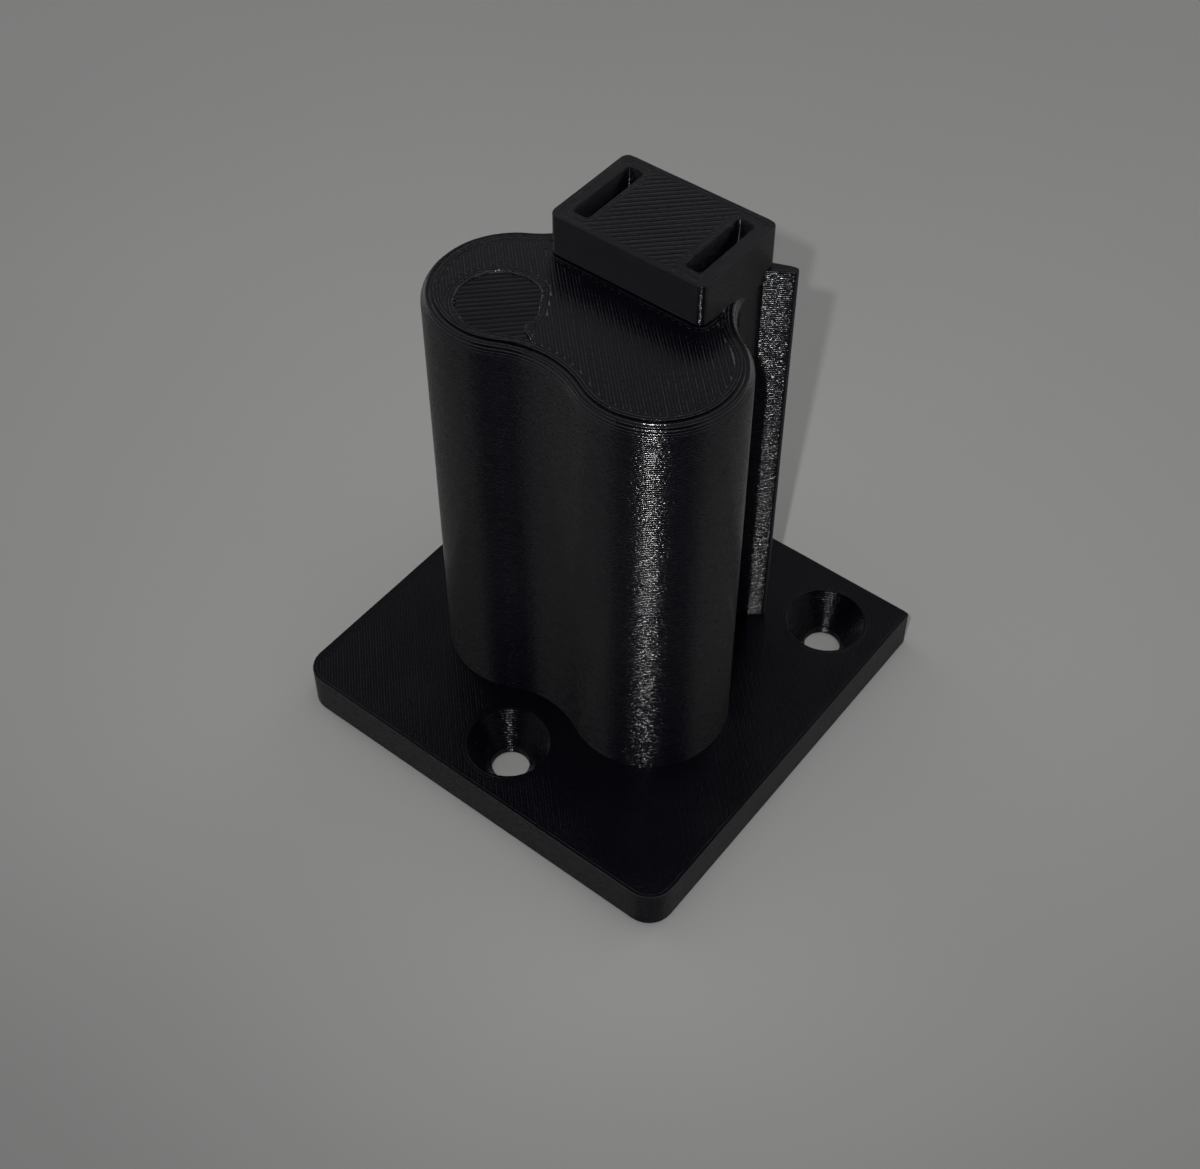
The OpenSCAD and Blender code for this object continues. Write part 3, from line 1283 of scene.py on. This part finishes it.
@dataclass
class SideRail:
    """Guide rail up one side of the stem."""

    printing: Printing
    side: int
    foot: float = 6.0
    top: float = 67.6
    root: Pair = (8.25, 14.51)
    root_thickness: float = 2.6
    nose: Pair = (13.4, 17.21)
    nose_radius: float = 0.6
    bead_gap: float = 0.02
    thread_start: Triple = (13.75, 17.0, 37.0)
    thread_end: Triple = (12.5, 16.15, 30.8)
    thread_sag: Triple = (-0.1, -0.22, 0.45)
    thread_radius: float = 0.035

    def outline(self, inset: float = 0.0) -> Loop:
        """Outline of the rail, with its root inside the stem and its rounded outer edge.

        Args:
            inset: How far it is drawn in.

        Returns:
            The outline, counter-clockwise.
        """
        radius = self.nose_radius - inset
        nose = np.array(self.nose)
        half = self.root_thickness / 2 - inset
        turns, roots = [], []
        for sign in (-1, 1):
            start = np.array(self.root) + [0.0, sign * half]
            way = nose - start
            lean = math.asin(radius / float(np.linalg.norm(way)))
            turns.append(math.degrees(math.atan2(way[1], way[0]) + sign * lean) + sign * 90)
            roots.append(start)
        bend = arc(nose, radius, turns[0], turns[1], 8)
        end = arc(nose, radius, turns[1], turns[1], 1)[0]
        edges = [self._edge(roots[0], bend[0]), bend, self._edge(end, roots[1]), roots[1][None]]
        loop = np.concatenate(edges)
        return loop if self.side > 0 else (loop * [-1, 1])[::-1]

    def thread(self) -> bpy.types.Object:
        """A thin thread that hangs on the rail's front face.

        Returns:
            The piece.
        """
        surface = Surface()
        share = np.linspace(0, 1, 9)[:, None]
        start, end, sag = (np.array(row) for row in (self.thread_start, self.thread_end, self.thread_sag))
        path = start + (end - start) * share + sag * np.sin(share * math.pi)
        Crumbs(surface, Wander(44)).thread(path, self.thread_radius)
        return surface.build("rail_thread")

    @staticmethod
    def _edge(start: np.ndarray, end: np.ndarray) -> Loop:
        """Eight points along a straight side, without its last point."""
        return start + (end - start) * (np.arange(8) / 8)[:, None]

    def body(self) -> bpy.types.Object:
        """The rail, closed above and below.

        Returns:
            The piece.
        """
        surface = Surface()
        printing = self.printing
        wall = printing.wall(surface, seed=41 + self.side)
        bottom, top = self.foot - printing.layer.height, printing.bed(self.top)
        low, high = wall.stack(lambda k, inset: self.outline(inset), bottom, top)
        surface.cap([low], up=False)
        surface.cap([high], up=True)
        beads = printing.lines(surface, 45 + self.side, self.top)
        beads.outline_bead(self.outline(printing.outline_pitch / 2 + self.bead_gap))
        return surface.build("rail_right" if self.side > 0 else "rail_left")


# The studio


@dataclass(frozen=True)
class Lamp:
    """A lamp that looks at a point."""

    name: str
    place: Triple
    target: Triple
    size: float
    watts: float
    cone: float | None = None

    def build(self) -> bpy.types.Object:
        """Makes the lamp: a spot where a cone is given, or else a round soft one.

        Returns:
            The lamp, linked into the scene.
        """
        if self.cone is None:
            data = bpy.data.lights.new(self.name, "AREA")
            data.shape = "DISK"
            data.size = self.size
        else:
            data = bpy.data.lights.new(self.name, "SPOT")
            data.shadow_soft_size = self.size / 2
            data.spot_size = math.radians(self.cone)
            data.spot_blend = 1.0
        data.energy = self.watts
        lamp = bpy.data.objects.new(self.name, data)
        lamp.location = self.place
        aim = Vector(self.target) - Vector(self.place)
        lamp.rotation_mode = "QUATERNION"
        lamp.rotation_quaternion = aim.to_track_quat("-Z", "Y")
        bpy.context.scene.collection.objects.link(lamp)
        return lamp


@dataclass(frozen=True)
class Studio:
    """Plain grey floor, soft light from above and one small hard light beside the camera."""

    floor_tone: Triple = (0.248, 0.251, 0.242)
    floor_radius: float = 2.0
    floor_drop: float = 0.05
    sides: float = 0.62
    shade: Triple = (0.05, 0.04, 0.1)
    back: float = 1.4
    behind: Pair = (0.42, 0.07)
    focal_px: float = 1848.1
    frame_px: Pair = (1200.0, 1169.0)
    optical_axis_px: Pair = (600.0, 480.0)
    shade_side: Pair = (0.609, -0.793)
    camera_place: Triple = (0.09777, -0.12674, 0.20508)
    camera_right: Triple = (0.7871, 0.6168, -0.0007)
    camera_down: Triple = (0.445, -0.5688, -0.6917)
    sensor: float = 36.0
    flash_place: Triple = (0.0785, -0.1195, 0.201)
    flash_target: Triple = (-0.06, 0.11, 0.0)
    floor_unevenness: float = 0.015
    shade_edge: Pair = (0.6, 0.74)
    shade_top: Pair = (0.9, 0.97)
    back_edge: Pair = (-0.35, -0.6)
    calm_edge: Pair = (-0.8, -0.9)
    calm_rise: Pair = (0.55, 0.85)

    def build(self) -> None:
        """Makes the camera, floor, world and lights."""
        scene = bpy.context.scene
        scene.view_settings.view_transform = "Standard"
        self._camera(scene)
        self._floor()
        self._world(scene)
        for lamp in self._lamps():
            lamp.build()

    def _camera(self, scene: bpy.types.Scene) -> None:
        """The photograph's viewpoint.

        Args:
            scene: Scene that the camera is set in.
        """
        data = bpy.data.cameras.new("camera")
        width, height = self.frame_px
        data.sensor_width = self.sensor
        data.lens = self.sensor * self.focal_px / width
        data.shift_x = -(self.optical_axis_px[0] - width / 2) / width
        data.shift_y = (self.optical_axis_px[1] - height / 2) / width
        data.clip_start, data.clip_end = 0.01, 20.0
        camera = bpy.data.objects.new("camera", data)
        right, up = Vector(self.camera_right).normalized(), -Vector(self.camera_down).normalized()
        back = right.cross(up).normalized()
        up = back.cross(right)
        turn = Matrix((right, up, back)).transposed().to_4x4()
        camera.matrix_world = Matrix.Translation(self.camera_place) @ turn
        scene.collection.objects.link(camera)
        scene.camera = camera

    def _floor(self) -> None:
        """A wide plain floor."""
        surface = Surface()
        ring = surface.ring(circle((0, 0), self.floor_radius / MM, 96), -self.floor_drop)
        surface.cap([ring], up=True)
        floor = surface.build("floor")
        material = bpy.data.materials.new("floor_paper")
        material.use_nodes = True
        tree = material.node_tree
        place = node(tree, "ShaderNodeTexCoord", output="Object")
        cloud = place.noise(scale=9.0, detail=4.0).spread(0.3, 0.7)
        low, high = (
            tuple(c * (1 + sign * self.floor_unevenness) for c in self.floor_tone) for sign in (-1, 1)
        )
        sockets = {"Base Color": cloud.mixed(low, high), "Roughness": 0.9, "Specular IOR Level": 0.0}
        set_inputs(tree.nodes["Principled BSDF"], sockets)
        floor.data.materials.append(material)

    def _world(self, scene: bpy.types.Scene) -> None:
        """Dim surroundings; the camera sees them in the floor's tone.

        Args:
            scene: Scene that gets them.
        """
        world = bpy.data.worlds.new("surroundings")
        world.use_nodes = True
        tree = world.node_tree
        seen = node(tree, "ShaderNodeLightPath", output="Is Camera Ray")
        way = node(tree, "ShaderNodeTexCoord", output="Generated")
        side = way.vector("MULTIPLY", (1.0, 1.0, 0.0)).vector("NORMALIZE").dot((*self.shade_side, 0.0))
        low = way.dot(UP)
        shade = side.spread(*self.shade_edge) * low.spread(*self.shade_top, 1.0, 0.0)
        around = shade.mixed((self.sides,) * 3, self.shade)
        around = side.spread(*self.back_edge).mixed(around, (self.back,) * 3)
        calm = low.spread(*self.calm_rise).mixed(*((level,) * 3 for level in self.behind))
        around = side.spread(*self.calm_edge).mixed(around, calm)
        set_inputs(tree.nodes["Background"], {"Color": seen.mixed(around, self.floor_tone)})
        scene.world = world

    def _lamps(self) -> Iterable[Lamp]:
        """The hard light beside the camera and the soft one overhead."""
        yield Lamp("flash", self.flash_place, self.flash_target, size=0.004, watts=1.35, cone=84.0)
        yield Lamp("ceiling", place=(0.05, 0.0, 1.6), target=(0.0, 0.0, 0.0), size=1.4, watts=4.8)


def main() -> None:
    """Builds the studio and the print, and hands the pieces to the frame."""
    logging.basicConfig(level=logging.INFO, format="%(name)s: %(message)s")
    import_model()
    Studio().build()
    printing = Printing()
    plate, stem, head = ScrewPlate(printing), Stem(printing), Head(printing)
    pieces = [
        plate.body(),
        plate.top_lines(stem.outline(inset=0.5)),
        stem.body(),
        stem.top_lines(head),
        head.body(),
        head.top_lines(),
        stem.flecks(),
        SideRail(printing, 1).body(),
        SideRail(printing, 1).thread(),
        SideRail(printing, -1).body(),
    ]
    plastic = PrintedPlastic().build()
    for piece in pieces:
        piece.data.materials.append(plastic)
        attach(piece, BODY)
        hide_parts(NODE)
        log.info("%s: %d faces", piece.name, len(piece.data.polygons))


if __name__ == "__main__":
    main()
